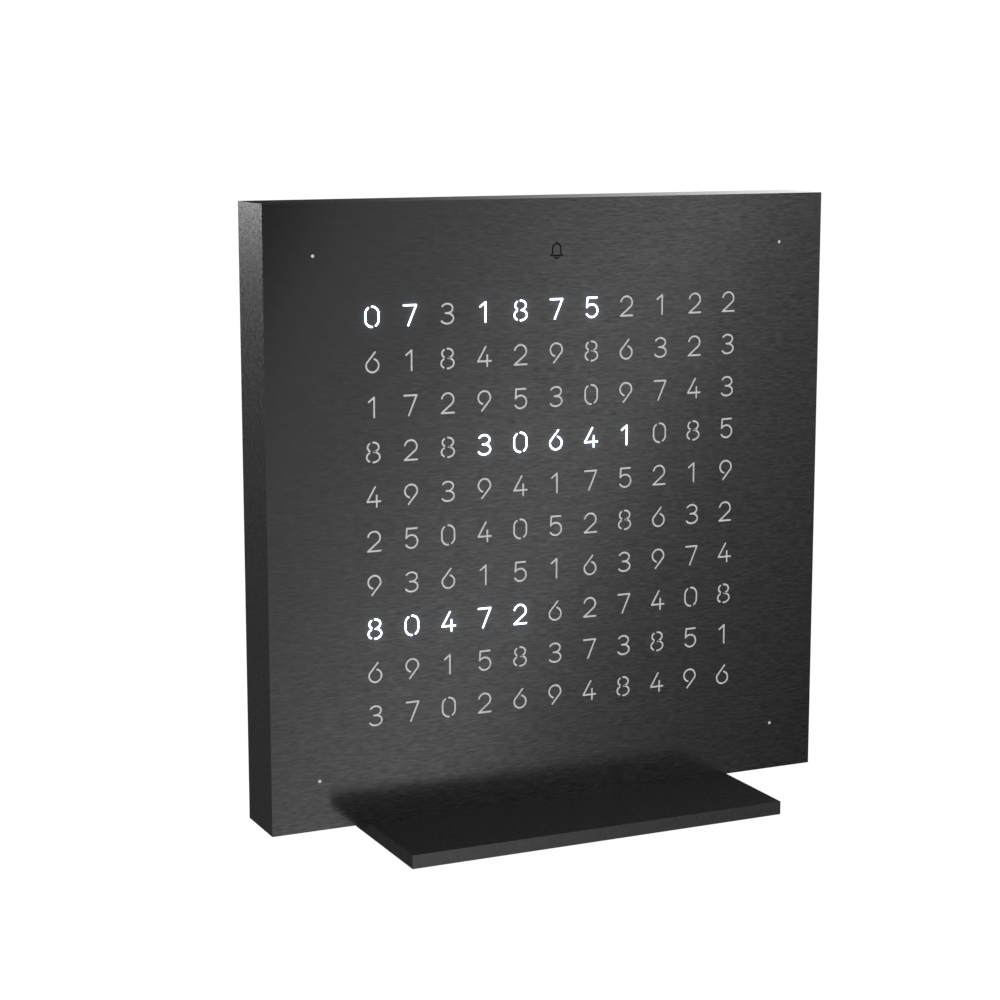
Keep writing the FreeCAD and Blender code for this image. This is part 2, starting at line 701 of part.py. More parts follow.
# The power inlet and the touch contact


def make_power_socket():
    """Flat shell with round ends from the board to the rear cover, and the insulator with its tongue."""
    shell = new_body("power_socket", y="Places.board_back", z="Places.face_mid - Places.socket_drop")
    add_slot(shell, "outside", "Sizes.socket_wide", "Sizes.socket_high",
             lambda sketch: add_pad(shell, sketch, "Places.socket_long", backwards=True))
    inner = ("Sizes.socket_wide - 2 * Sizes.socket_shell", "Sizes.socket_high - 2 * Sizes.socket_shell")
    add_slot(shell, "inside", *inner, lambda sketch: add_pocket(shell, sketch))

    tongue = new_body("socket_tongue", y="Places.board_back", z="Places.face_mid - Places.socket_drop")
    add_slot(tongue, "base", *inner,
             lambda sketch: add_pad(tongue, sketch, "Sizes.tongue_base", backwards=True))
    blade = new_sketch(tongue, "blade")
    add_rectangle(blade, "Sizes.tongue_wide", "Sizes.tongue_thick")
    add_pad(tongue, blade, "Places.socket_long - Sizes.tongue_back", backwards=True)


def make_touch_contact():
    """Spring strip soldered to the board's back, which leans on the inside of the top wall."""
    body = new_body("touch_contact", y="Places.board_back", z="Places.face_mid + Places.chamber_side / 2")
    profile = new_sketch(body, "profile", plane="YZ_Plane")
    thick = "Sizes.strip_thick"
    foot_end = "-Sizes.board_gap - Sizes.strip_foot"
    bend = "-Sizes.board_gap - Sizes.strip_thick"
    tip = "Sizes.strip_rise"
    add_outline(profile, [
        ("0", foot_end),
        (thick, foot_end),
        (thick, f"{bend} - {thick}"),
        (tip, f"-{thick}"),
        (f"{tip} + {thick}", f"-{thick}"),
        (f"{tip} + {thick}", "0"),
        (tip, "0"),
        ("0", bend),
    ])
    pad = add_pad(body, profile, "Sizes.strip_wide")
    pad.Midplane = True


# The setting buttons


def make_buttons():
    """Four caps held in by their flanges, each on the plunger of its own switch."""
    switches = new_body("button_switches", y="Places.board_back", z="Places.face_mid + Places.button_rise")
    first = f"-{(len(BUTTONS) - 1) / 2} * Sizes.button_pitch"
    case = new_sketch(switches, "case")
    add_rectangle(case, "Sizes.switch_side", "Sizes.switch_side", first, "0")
    pad = add_pad(switches, case, "Sizes.switch_high", backwards=True)
    bore = new_sketch(switches, "bore", lift="-Sizes.switch_high")
    add_circle(bore, "Sizes.plunger_dia + 2 * Sizes.plunger_gap", first, "0")
    cut = add_pocket(switches, bore, "Sizes.switch_high - Sizes.switch_floor", from_back=True)
    repeat(switches, [pad, cut],
           across=(f"{len(BUTTONS) - 1} * Sizes.button_pitch", str(len(BUTTONS))))

    for k, name in enumerate(BUTTONS):
        spot = {"x": f"{k - (len(BUTTONS) - 1) / 2} * Sizes.button_pitch",
                "z": "Places.face_mid + Places.button_rise"}
        cap = new_body(f"{name}_button", y="Places.lid_inner", **spot)
        stem_end = "-Places.stem_long"
        add_turned(cap, "profile", [
            ("0", stem_end),
            ("Sizes.stem_dia / 2", stem_end),
            ("Sizes.stem_dia / 2", "-Sizes.flange_thick"),
            ("Sizes.flange_dia / 2", "-Sizes.flange_thick"),
            ("Sizes.flange_dia / 2", "0"),
            ("Sizes.button_dia / 2", "0"),
            ("Sizes.button_dia / 2", "Sizes.lid_thick - Sizes.button_edge"),
            ("Sizes.button_dia / 2 - Sizes.button_edge", "Sizes.lid_thick"),
            ("0", "Sizes.lid_thick"),
        ], plane="XY_Plane")
        plunger = disc(f"{name}_plunger", "Sizes.plunger_dia", "Sizes.plunger_seat + Places.plunger_out")
        put(plunger, y="Places.plunger_back", **spot)


# The foot and the screws


def make_foot():
    """Flat plate with a recess for its rubber mat and two countersunk holes under the mat."""
    plate = new_body("foot_plate", z="Sizes.mat_stand")
    outline = new_sketch(plate, "outline", plane="XY_Plane")
    add_rectangle(outline, "Sizes.foot_width", "Places.foot_depth")
    add_pad(plate, outline, "Sizes.foot_thick")
    recess = new_sketch(plate, "recess", plane="XY_Plane")
    mat = ("Sizes.foot_width - 2 * Sizes.mat_inset", "Places.foot_depth - 2 * Sizes.mat_inset")
    add_rectangle(recess, *mat)
    add_pocket(plate, recess, "Places.mat_recess", from_back=True)
    marks = new_sketch(plate, "screw_mark", plane="XY_Plane", lift="Places.mat_recess")
    for side in ("-", ""):
        add_circle(marks, "Sizes.foot_thread", f"{side}Sizes.foot_screw_span / 2", "Places.foot_screw_y")
    add_countersunk_hole(plate, marks, "Sizes.foot_thread", "Sizes.foot_head")

    rubber = new_body("foot_mat", z="0")
    outline = new_sketch(rubber, "outline", plane="XY_Plane")
    add_rectangle(outline, *mat)
    add_pad(rubber, outline, "Sizes.mat_thick")


def countersunk(thread, head, long, way=""):
    """Half outline of a countersunk screw: its head's flat top at 0, its tip at long, in that way."""
    shank = f"{thread} / 2 - Sizes.fit_gap"
    return [
        ("0", "0"),
        (f"{head} / 2", "0"),
        (shank, f"{way}({head} - {thread}) / 2"),
        (shank, f"{way}{long}"),
        ("0", f"{way}{long}"),
    ]


def pan_headed(thread, head, head_high, long):
    """Half outline of a screw whose head stands on 0 and whose shank reaches long below it."""
    shank = f"{thread} / 2 - Sizes.fit_gap"
    return [
        ("0", head_high),
        (f"{head} / 2", head_high),
        (f"{head} / 2", "0"),
        (shank, "0"),
        (shank, f"-{long}"),
        ("0", f"-{long}"),
    ]


def make_screws():
    """The rear cover's, the board's and the foot's screws, each set one node."""
    body = new_body("rear_screws", y="Places.back")
    corner = "-Places.lid_screw_span / 2"
    outline = countersunk("Sizes.small_thread", "Sizes.small_head", "Sizes.lid_screw_long", way="-")
    screw = add_turned(body, "screw", outline, plane="XY_Plane", lift=corner, shift=(corner, "0"))
    at_corners(body, screw, "Places.lid_screw_span")

    body = new_body("board_screws", y="Places.board_back")
    outline = pan_headed("Sizes.small_thread", "Sizes.small_head", "Sizes.pan_head_high",
                         "Sizes.board_screw_long")
    pair = [add_turned(body, f"screw_{name}", outline, plane="XY_Plane",
                       lift="-Places.board_screw_out", shift=(f"{side}Sizes.board_screw_span / 2", "0"))
            for name, side in (("left", "-"), ("right", ""))]
    repeat(body, pair, around="4")

    body = new_body("foot_screws", z="Sizes.mat_thick")
    outline = countersunk("Sizes.foot_thread", "Sizes.foot_head", "Sizes.foot_screw_long")
    screw = add_turned(body, "screw", outline, lift="-Places.foot_screw_y",
                       shift=("-Sizes.foot_screw_span / 2", "0"))
    repeat(body, [screw], across=("Sizes.foot_screw_span", "2"))


def check_and_write():
    """Stops at anything that failed, then writes each piece to its own file."""
    for thing in doc.Objects:
        if "Invalid" in thing.State or "Error" in thing.State:
            raise RuntimeError(f"{thing.Label} failed: {thing.State}")
    for piece in nodes:
        if piece.Shape.isNull() or not piece.Shape.isValid() or not piece.Shape.Solids:
            raise RuntimeError(f"{piece.Label} has no valid solid")
    os.makedirs("parts", exist_ok=True)
    for piece in nodes:
        piece.Shape.exportStep(f"parts/{piece.Label}.step")
        print(f"{piece.Label}: {len(piece.Shape.Solids)} solid(s), {piece.Shape.Volume:.1f} mm3")


make_sheets()
make_front_cover()
make_cover_backing()
make_magnets("cover_magnets", "Places.cover_back", "Sizes.keeper_thick")
make_housing_frame()
make_magnets("housing_magnets", "Places.cover_back + Sizes.keeper_thick", "Sizes.magnet_thick")
make_light_grid()
make_led_board()
make_leds()
make_chips()
make_cell_and_holder()
make_sounder()
make_power_socket()
make_touch_contact()
make_buttons()
make_rear_cover()
make_foot()
make_screws()
doc.recompute()
check_and_write()
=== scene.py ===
"""Looks of the desk word clock: the cut front sheet, its signs, the coatings, and the studio round them.

Metres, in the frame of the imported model: +Z up, the face looks along -Y. Sizes given in millimetres
are multiplied by MM where a piece is made.
"""

import bpy
import numpy as np
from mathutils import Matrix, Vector
from mathutils.geometry import delaunay_2d_cdt


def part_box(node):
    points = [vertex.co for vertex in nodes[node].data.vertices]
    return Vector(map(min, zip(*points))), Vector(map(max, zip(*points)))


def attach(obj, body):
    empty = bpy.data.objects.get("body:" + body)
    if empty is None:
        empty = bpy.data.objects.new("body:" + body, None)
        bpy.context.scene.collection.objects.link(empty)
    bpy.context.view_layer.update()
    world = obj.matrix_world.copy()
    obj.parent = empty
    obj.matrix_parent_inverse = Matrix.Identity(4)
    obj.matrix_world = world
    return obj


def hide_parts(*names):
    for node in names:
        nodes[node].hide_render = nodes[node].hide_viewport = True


MM = 0.001

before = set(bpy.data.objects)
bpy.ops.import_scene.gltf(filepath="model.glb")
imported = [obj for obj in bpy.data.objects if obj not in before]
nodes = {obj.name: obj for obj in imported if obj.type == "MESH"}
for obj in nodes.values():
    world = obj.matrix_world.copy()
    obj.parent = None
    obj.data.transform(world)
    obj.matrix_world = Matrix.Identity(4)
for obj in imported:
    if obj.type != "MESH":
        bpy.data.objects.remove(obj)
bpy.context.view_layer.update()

# The face: millimetres from its middle, x to the right and z up
COLUMNS = 11
ROWS = 10
FIELD_SPAN = 86.75  # from the first sign's middle to the last one's, both ways
STROKE = 0.41
BELL_STROKE = 0.34
BELL_PLACE = (0, 56.2)
DOT_OUT = 56.5
DOT_RADIUS = 0.38
DOT_PLACES = [(x, z) for x in (-DOT_OUT, DOT_OUT) for z in (-DOT_OUT, DOT_OUT)]
SIGN_SINK = 0.05  # how far the fillings stay below the sheet's front
LIT = {0: (0, 1, 3, 4, 5, 6), 3: (3, 4, 5, 6, 7), 7: (0, 1, 2, 3, 4)}  # lit columns, by row

cover_low, cover_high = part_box("front_cover")
FACE_FRONT = cover_low.y
FACE_BACK = cover_high.y
FACE_MID = (cover_low.z + cover_high.z) / 2
FACE_HALF = (cover_high.x - cover_low.x) / 2

# Materials


def new_material(name, colour, roughness, metallic=0.0, **sockets):
    """A Principled material; the sockets are given by name with underscores for spaces."""
    material = bpy.data.materials.new(name)
    material.use_nodes = True
    shader = material.node_tree.nodes["Principled BSDF"]
    shader.inputs["Base Color"].default_value = (*colour, 1)
    shader.inputs["Roughness"].default_value = roughness
    shader.inputs["Metallic"].default_value = metallic
    for socket, value in sockets.items():
        shader.inputs[socket.replace("_", " ")].default_value = value
    return material


def shader_of(material):
    """The material's Principled node and its node tree."""
    return material.node_tree.nodes["Principled BSDF"], material.node_tree


def add_noise(tree, scale, detail=2.0, stretch=(1, 1, 1)):
    """Noise in the object's own coordinates, with its features drawn out by the stretch."""
    coordinates = tree.nodes.new("ShaderNodeTexCoord")
    mapping = tree.nodes.new("ShaderNodeMapping")
    mapping.inputs["Scale"].default_value = stretch
    noise = tree.nodes.new("ShaderNodeTexNoise")
    noise.inputs["Scale"].default_value = scale
    noise.inputs["Detail"].default_value = detail
    tree.links.new(coordinates.outputs["Object"], mapping.inputs["Vector"])
    tree.links.new(mapping.outputs["Vector"], noise.inputs["Vector"])
    return noise.outputs["Fac"]


def add_range(tree, value, low, high, start=0.0, end=1.0, kind="LINEAR"):
    """Maps a value from low..high to start..end."""
    node = tree.nodes.new("ShaderNodeMapRange")
    node.interpolation_type = kind
    for socket, number in (("From Min", low), ("From Max", high), ("To Min", start), ("To Max", end)):
        node.inputs[socket].default_value = number
    tree.links.new(value, node.inputs["Value"])
    return node.outputs["Result"]


def add_math(tree, operation, first, second):
    """One sum, product or power of two values, the second a number or a socket."""
    node = tree.nodes.new("ShaderNodeMath")
    node.operation = operation
    tree.links.new(first, node.inputs[0])
    if isinstance(second, float):
        node.inputs[1].default_value = second
    else:
        tree.links.new(second, node.inputs[1])
    return node.outputs["Value"]


def add_along(tree, coordinate, way):
    """How far a point or direction lies along a fixed way: their dot product."""
    coordinates = tree.nodes.new("ShaderNodeTexCoord")
    product = tree.nodes.new("ShaderNodeVectorMath")
    product.operation = "DOT_PRODUCT"
    product.inputs[1].default_value = way
    tree.links.new(coordinates.outputs[coordinate], product.inputs[0])
    return product.outputs["Value"]


def add_bump(material, height, distance):
    """Bends the normal by a height field."""
    shader, tree = shader_of(material)
    bump = tree.nodes.new("ShaderNodeBump")
    bump.inputs["Distance"].default_value = distance
    tree.links.new(height, bump.inputs["Height"])
    tree.links.new(bump.outputs["Normal"], shader.inputs["Normal"])


def scale_colour(material, factor):
    """Multiplies the base colour by a varying factor."""
    shader, tree = shader_of(material)
    product = tree.nodes.new("ShaderNodeVectorMath")
    product.operation = "SCALE"
    product.inputs[0].default_value = shader.inputs["Base Color"].default_value[:3]
    tree.links.new(factor, product.inputs["Scale"])
    tree.links.new(product.outputs["Vector"], shader.inputs["Base Color"])


def grained(name, colour, roughness, grain, depth, **sockets):
    """A coating or a moulding with a fine even grain; grain is the size of its lumps.

    The gloss varies with the lumps by 8 %, and the colour by 15 % in a grain of its own.
    """
    material = new_material(name, colour, roughness, **sockets)
    shader, tree = shader_of(material)
    lumps = add_noise(tree, 1 / grain, detail=1.0)
    add_bump(material, lumps, depth)
    gloss = add_range(tree, lumps, 0.3, 0.7, 0.92 * roughness, 1.08 * roughness)
    tree.links.new(gloss, shader.inputs["Roughness"])
    scale_colour(material, add_range(tree, add_noise(tree, 0.7 / grain), 0.3, 0.7, 0.85, 1.15))
    return material


def brushed(name, colour, roughness, anisotropic):
    """Dark sheet brushed from side to side: short fine streaks in its colour, its gloss and its relief.

    The colour swings by a sum of two drawn-out noises. Towards the upper left corner the swing is calmed as
    painted
    reflection: the streaks show less there, as they do where the sheet reflects little light.
    """
    material = new_material(name, colour, roughness, metallic=0.68, Anisotropic=anisotropic)
    shader, tree = shader_of(material)
    streaks = add_noise(tree, 1.0, detail=4.0, stretch=(520, 520, 2900))  # about 2 mm long, 0.3 mm high
    drawn = add_noise(tree, 1.0, detail=3.0, stretch=(230, 230, 2400))  # about 4 mm long, 0.4 mm high
    swing = add_math(tree, "ADD", add_range(tree, streaks, 0.25, 0.75, -0.47, 0.47),
                     add_range(tree, drawn, 0.25, 0.75, -0.26, 0.26))
    # painted reflection: the colour streaks are calmed towards the upper left, where the sheet reflects
    # little light
    painted_reflection_calm = add_range(tree, add_along(tree, "Object", (0.88, 0, -0.47)), -0.1, -0.05, 0.28, 1.0)
    swing = add_math(tree, "MULTIPLY", swing, painted_reflection_calm)
    scale_colour(material, add_math(tree, "ADD", swing, 1.0))
    gloss = add_range(tree, streaks, 0.2, 0.8, roughness - 0.015, roughness + 0.015)
    tree.links.new(gloss, shader.inputs["Roughness"])
    add_bump(material, streaks, 0.0000012)
    tangent = tree.nodes.new("ShaderNodeTangent")
    tangent.direction_type = "UV_MAP"
    tangent.uv_map = "across_and_up"
    tree.links.new(tangent.outputs["Tangent"], shader.inputs["Tangent"])
    shader.inputs["Anisotropic Rotation"].default_value = 0.25
    return material


MATERIALS = {
    "front_sheet": brushed("front_sheet", (0.045, 0.045, 0.046), 0.165, 0.5),
    "housing_coat": grained("housing_coat", (0.022, 0.022, 0.023), 0.27, 0.0008, 0.000016),
    "foot_coat": grained("foot_coat", (0.027, 0.027, 0.028), 0.26, 0.0008, 0.000012),
    "rear_plastic": grained("rear_plastic", (0.02, 0.02, 0.021), 0.5, 0.00035, 0.00004),
    "button_plastic": grained("button_plastic", (0.03, 0.03, 0.032), 0.35, 0.0005, 0.000005),
    "mat_rubber": grained("mat_rubber", (0.02, 0.02, 0.02), 0.8, 0.0006, 0.00006),
    "unlit_sign": new_material("unlit_sign", (0.8, 0.8, 0.81), 0.45),
    "lit_sign": new_material("lit_sign", (0.93, 0.95, 1.0), 0.45, Emission_Color=(0.74, 0.84, 1.0, 1),
                             Emission_Strength=3.6),
    "bell_sign": new_material("bell_sign", (0.004, 0.004, 0.004), 0.6, Specular_IOR_Level=0.15),
    "opal_sheet": new_material("opal_sheet", (0.78, 0.79, 0.8), 0.4),
    "grid_plastic": new_material("grid_plastic", (0.75, 0.75, 0.74), 0.5),
    "board": new_material("board", (0.01, 0.06, 0.03), 0.35, Coat_Weight=0.4),
    "led": new_material("led", (0.82, 0.8, 0.72), 0.4),
    "led_lens": new_material("led_lens", (0.85, 0.72, 0.22), 0.3, Coat_Weight=0.5),
    "led_glow": new_material("led_glow", (0.9, 0.93, 1.0), 0.3, Emission_Color=(0.88, 0.93, 1.0, 1),
                             Emission_Strength=6.0),
    "chip_plastic": grained("chip_plastic", (0.025, 0.025, 0.027), 0.55, 0.0002, 0.000008),
    "nickel": new_material("nickel", (0.62, 0.6, 0.57), 0.22, metallic=1.0),
    "steel": new_material("steel", (0.45, 0.45, 0.46), 0.42, metallic=1.0),
    "contact_brass": new_material("contact_brass", (0.72, 0.56, 0.3), 0.28, metallic=1.0),
}

NODE_MATERIALS = {
    "housing_coat": ("housing_frame",),
    "foot_coat": ("foot_plate",),
    "rear_plastic": ("rear_cover",),
    "mat_rubber": ("foot_mat",),
    "opal_sheet": ("cover_backing",),
    "grid_plastic": ("light_grid",),
    "button_plastic": ("hour_plunger", "minute_plunger", "alarm_plunger", "light_plunger"),
    "board": ("led_board",),
    "led": ("word_leds", "sign_leds"),
    "chip_plastic": ("led_drivers", "clock_chip", "power_coil", "cell_holder", "sounder", "socket_tongue",
                     "button_switches"),
    "nickel": ("cover_magnets", "housing_magnets", "clock_crystal", "power_socket"),
    "steel": ("backup_cell", "board_screws", "foot_screws"),
    "contact_brass": ("touch_contact",),
}


def dress(piece, *materials):
    """Gives a piece its materials."""
    piece.data.materials.clear()
    for material in materials:
        piece.data.materials.append(MATERIALS[material])


# Building surfaces


def new_piece(name, body, slot, points, faces, *materials, marks=None):
    """A finished mesh that moves with a body; marks give each face the number of its material."""
    mesh = bpy.data.meshes.new(name)
    mesh.from_pydata(np.asarray(points, float).tolist(), [], [list(map(int, face)) for face in faces])
    piece = bpy.data.objects.new(name, mesh)
    bpy.context.scene.collection.objects.link(piece)
    dress(piece, *materials)
    if marks is not None:
        mesh.polygons.foreach_set("material_index", np.asarray(marks, np.int32))
    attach(piece, body)
    return piece


def in_space(points, y):
    """Points of the face plane, in millimetres from its middle, at depth y in the model's frame."""
    flat = np.asarray(points, float) * MM
    return np.column_stack([flat[:, 0], np.full(len(flat), y), flat[:, 1] + FACE_MID])


def arc(x, z, across, up, start, end, count=14):
    """Points of an ellipse's arc, from the start to the end angle in degrees.

    A point is at x plus across times the angle's cosine, and z plus up times its sine.
    """
    angle = np.radians(np.linspace(start, end, count + 1))
    return np.column_stack([x + across * np.cos(angle), z + up * np.sin(angle)])


def run(*parts):
    """One path through points and arcs."""
    return np.vstack([np.atleast_2d(np.asarray(part, float)) for part in parts])


ROUND_END_POINTS = 5


def stroke_outline(path, width):
    """Outline of a stroke: its path moved half the width to both sides, joined by half circles.

    The way along the path at a point is the difference of its neighbours, made one long.
    """
    along = np.gradient(path, axis=0)
    along /= np.linalg.norm(along, axis=1)[:, None]
    left = np.column_stack([-along[:, 1], along[:, 0]])
    turn = np.linspace(0, np.pi, ROUND_END_POINTS + 2)[1:-1, None]
    far = path[-1] + width / 2 * (np.cos(turn) * left[-1] + np.sin(turn) * along[-1])
    near = path[0] - width / 2 * (np.cos(turn) * left[0] + np.sin(turn) * along[0])
    outline = np.vstack([path + width / 2 * left, far, (path - width / 2 * left)[::-1], near])
    return outline[::-1]


# Plain digits from 0 to 9, each a list of strokes with bridges where a ring would fall out of the sheet
DIGITS = [
    [run(arc(0, 0.64, 1.5, 1.5, 90, 0), arc(0, -0.64, 1.5, 1.5, 0, -56)),
     run(arc(0, -0.64, 1.5, 1.5, -90, -180), arc(0, 0.64, 1.5, 1.5, 180, 124))],
    [run((0.3, 2.14), (0.3, -2.14)), run((0.3, 2.14), (-0.95, 1.2))],
    [run(arc(0, 0.76, 1.4, 1.38, 168, -38)), run((1.1, -0.09), (-1.45, -2.14)),
     run((-1.45, -2.14), (1.5, -2.14))],
    [run(arc(-0.05, 1.12, 1.3, 1.02, 152, -90), (-0.4, 0.1)),
     run(arc(-0.05, -1.02, 1.48, 1.12, 90, -152))],
    [run((0.35, 2.14), (-1.5, -1.0)), run((-1.5, -1.0), (1.6, -1.0)), run((0.7, 0.3), (0.7, -2.14))],
    [run((1.25, 2.14), (-1.05, 2.14)), run((-1.05, 2.14), (-1.2, 0.08)),
     run(arc(0, -0.72, 1.45, 1.42, 146, -150))],
    [run((0.6, 2.14), (-1.22, -0.02)), run(arc(0, -0.7, 1.45, 1.44, 152, 432))],
    [run((-1.45, 2.14), (1.45, 2.14)), run((1.45, 2.14), (-0.4, -2.14))],
    [run(arc(0, 1.12, 1.28, 1.02, 90, -90), arc(0, -1.02, 1.5, 1.12, 90, -90)[1:]),
     run(arc(0, 1.12, 1.28, 1.02, 130, 232)), run(arc(0, -1.02, 1.5, 1.12, 126, 234))],
    [run((-0.6, -2.14), (1.22, 0.02)), run(arc(0, 0.7, 1.45, 1.44, -28, 252))],
]

BELL = [
    run((-1.42, -1.2), (-1.0, -0.72), (-1.0, 0.25), arc(0, 0.4, 1.0, 1.0, 172, 112)),
    run((1.42, -1.2), (1.0, -0.72), (1.0, 0.25), arc(0, 0.4, 1.0, 1.0, 8, 68)),
    run((-0.95, -1.2), (0.95, -1.2)),
    run((0, 1.72), (0, 1.3)),
    run(arc(0, -1.42, 0.45, 0.4, 205, 335, 8)),
]


def sign_at(row, column):
    """The digit that stands at a place of the field, scattered so that they read as nothing."""
    return ((11 * column + 12 * row) ** 2 + column) % 23 % 10


def sign_place(row, column):
    """The middle of a sign: columns from left to right and rows from the top, evenly over the field."""
    return FIELD_SPAN * (column / (COLUMNS - 1) - 0.5), FIELD_SPAN * (0.5 - row / (ROWS - 1))


def is_lit(row, column):
    """Whether the sign at a place of the field is lit."""
    return column in LIT.get(row, ())


def face_outlines():
    """Outlines of everything cut into the sheet, each with its kind: unlit, lit or bell."""
    outlines = []
    for row in range(ROWS):
        for column in range(COLUMNS):
            place = sign_place(row, column)
            kind = "lit" if is_lit(row, column) else "unlit"
            strokes = DIGITS[sign_at(row, column)]
            outlines += [(stroke_outline(path, STROKE) + place, kind) for path in strokes]
    for x, z in DOT_PLACES:
        outlines.append((arc(x, z, DOT_RADIUS, DOT_RADIUS, 0, 345, 23), "unlit"))
    outlines += [(stroke_outline(path, BELL_STROKE) + BELL_PLACE, "bell") for path in BELL]
    return outlines


def split_face(outlines, half):
    """Triangles of the square face: the joint points, and for each kind and the sheet its triangles.

    The square is triangulated with every outline as an edge. A triangle inside an outline has that
    outline's kind, and one outside them all belongs to the sheet. All are turned the same way round.
    """
    points = [(-half, -half), (half, -half), (half, half), (-half, half)]
    rings = []
    for outline, _ in outlines:
        rings.append(list(range(len(points), len(points) + len(outline))))
        points += outline.tolist()
    corners = [Vector(point) for point in points]
    points, _, triangles, _, _, sources = delaunay_2d_cdt(corners, [], rings, 0, 1e-5, True)
    kinds = np.array([outlines[source[0]][1] if source else "sheet" for source in sources])
    points = np.array([tuple(point) for point in points])
    triangles = np.array([tuple(triangle) for triangle in triangles])
    a, b, c = (points[triangles[:, k]] for k in range(3))
    turned_over = np.cross(b - a, c - a) < 0
    triangles[turned_over] = triangles[turned_over][:, ::-1]
    return points, {kind: triangles[kinds == kind] for kind in ("sheet", "unlit", "lit", "bell")}


def border_of(triangles):
    """The directed edges that belong to one triangle only: those that no triangle has reversed."""
    edges = np.vstack([triangles[:, [k, (k + 1) % 3]] for k in range(3)])
    count = triangles.max() + 1
    alone = ~np.isin(edges[:, 0] * count + edges[:, 1], edges[:, 1] * count + edges[:, 0])
    return edges[alone]


def prism(points, triangles, front, back):
    """A solid between the planes at front and back: its points, its two faces and its border's walls."""
    used, flat = np.unique(triangles, return_inverse=True)
    triangles = flat.reshape(triangles.shape)
    count = len(used)
    border = border_of(triangles)
    solid = np.vstack([in_space(points[used], front), in_space(points[used], back)])
    caps = np.vstack([triangles, triangles[:, ::-1] + count])
    walls = np.column_stack([border[:, 1], border[:, 0], border[:, 0] + count, border[:, 1] + count])
    return solid, caps, walls


def make_front():
    """The sheet with its cuts, its outer edge coated like the housing, and the fillings of the signs."""
    points, kinds = split_face(face_outlines(), FACE_HALF / MM)
    solid, caps, walls = prism(points, kinds["sheet"], FACE_FRONT, FACE_BACK)
    outside = np.abs(solid[:, [0, 2]] - (0, FACE_MID)).max(axis=1) > FACE_HALF - 0.01 * MM
    marks = np.concatenate([np.zeros(len(caps)), outside[walls].all(axis=1)])
    sheet = new_piece("front_sheet", "cover", "front_sheet", solid, [*caps, *walls],
                      "front_sheet", "housing_coat", marks=marks)
    layer = sheet.data.uv_layers.new(name="across_and_up")
    corner = np.zeros(len(sheet.data.loops), np.int32)
    sheet.data.loops.foreach_get("vertex_index", corner)
    layer.data.foreach_set("uv", solid[corner][:, [0, 2]].ravel())
    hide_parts("front_cover")
    for kind, slot in (("unlit", "unlit_sign"), ("lit", "lit_sign"), ("bell", "rear_plastic")):
        solid, caps, walls = prism(points, kinds[kind], FACE_FRONT + SIGN_SINK * MM, FACE_BACK)
        new_piece(f"{kind}_signs", "cover", slot, solid, [*caps, *walls], f"{kind}_sign")


def ring_quads(rings, sides):
    """The quads between neighbouring rings of a closed surface, whose points are numbered ring by ring."""
    spot = np.arange(rings * sides).reshape(rings, sides)
    ahead = np.roll(spot, -1, axis=1)
    return np.stack([spot[:-1], spot[1:], ahead[1:], ahead[:-1]], axis=-1).reshape(-1, 4)


def turned(profile, place, sides=48, hexagon=()):
    """Rings of radius and y, in millimetres, about an axis along y through place; closed at both ends.

    A point is at x radius times the angle's cosine, and z radius times its sine. The rings whose numbers
    are in hexagon are six-sided: there the radius is divided by the cosine of the angle to the nearest
    side's middle.
    """
    angle = np.radians(np.arange(sides) * 360 / sides)
    shape = np.ones((len(profile), sides))
    to_side = (np.degrees(angle) + 30) % 60 - 30
    for ring in hexagon:
        shape[ring] = 1 / np.cos(np.radians(to_side))
    radius = np.array([r for r, _ in profile])[:, None] * shape
    depth = np.repeat(np.array([y for _, y in profile])[:, None], sides, axis=1)
    points = np.stack([radius * np.cos(angle) * MM, depth * MM, radius * np.sin(angle) * MM], axis=-1)
    first_ring = np.arange(sides)
    last_ring = first_ring[::-1] + (len(profile) - 1) * sides
    return points.reshape(-1, 3) + place, [*ring_quads(len(profile), sides), first_ring, last_ring]


def joined(solids):
    """Several solids as one set of points and faces."""
    points, faces, count = [], [], 0
    for part_points, part_faces in solids:
        points.append(part_points)
        faces += [np.asarray(face) + count for face in part_faces]
        count += len(part_points)
    return np.vstack(points), faces


def block(low, high):
    """A box from its lowest to its highest corner; corner k has the high value on the axes of its bits."""
    corners = np.array([[(low, high)[(k >> axis) & 1][axis] for axis in range(3)] for k in range(8)])
    return corners, [(0, 2, 3, 1), (4, 5, 7, 6), (0, 1, 5, 4), (2, 6, 7, 3), (0, 4, 6, 2), (1, 3, 7, 5)]


# Setting buttons: radii in millimetres, and y of the flange that keeps a cap behind the rear cover
STEM_RADIUS = 1.4
FLANGE_RADIUS = 4.5
FLANGE_FRONT = 5.2
FLANGE_BACK = 6.0
CAP_RADIUS = 3.5
CAP_ROUND = 0.45  # radius of the cap's soft edge
DISH = [(2.8, 0.02), (2.2, 0.12), (1.4, 0.22), (0.5, 0.27)]  # radius, and depth below the cap's rim


def make_buttons():
    """Caps with a soft edge and a shallow dish for the finger, each in place of its node.

    The edge is a quarter circle from the cap's side to its rim, and the dish sinks towards the axis.
    """
    for name in ("hour", "minute", "alarm", "light"):
        low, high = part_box(f"{name}_button")
        place = np.array([(low.x + high.x) / 2, 0, (low.z + high.z) / 2])
        top = high.y / MM
        edge = np.radians([20, 45, 70, 90])
        profile = [(STEM_RADIUS, low.y / MM), (STEM_RADIUS, FLANGE_FRONT), (FLANGE_RADIUS, FLANGE_FRONT),
                   (FLANGE_RADIUS, FLANGE_BACK), (CAP_RADIUS, FLANGE_BACK), (CAP_RADIUS, top - CAP_ROUND)]
        profile += [(CAP_RADIUS - CAP_ROUND + CAP_ROUND * np.cos(a), top - CAP_ROUND + CAP_ROUND * np.sin(a))
                    for a in edge]
        profile += [(radius, top - depth) for radius, depth in DISH]
        points, faces = turned(profile, place)
        cap = new_piece(f"{name}_cap", f"{name}_key", "button_plastic", points, faces, "button_plastic")
        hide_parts(f"{name}_button")


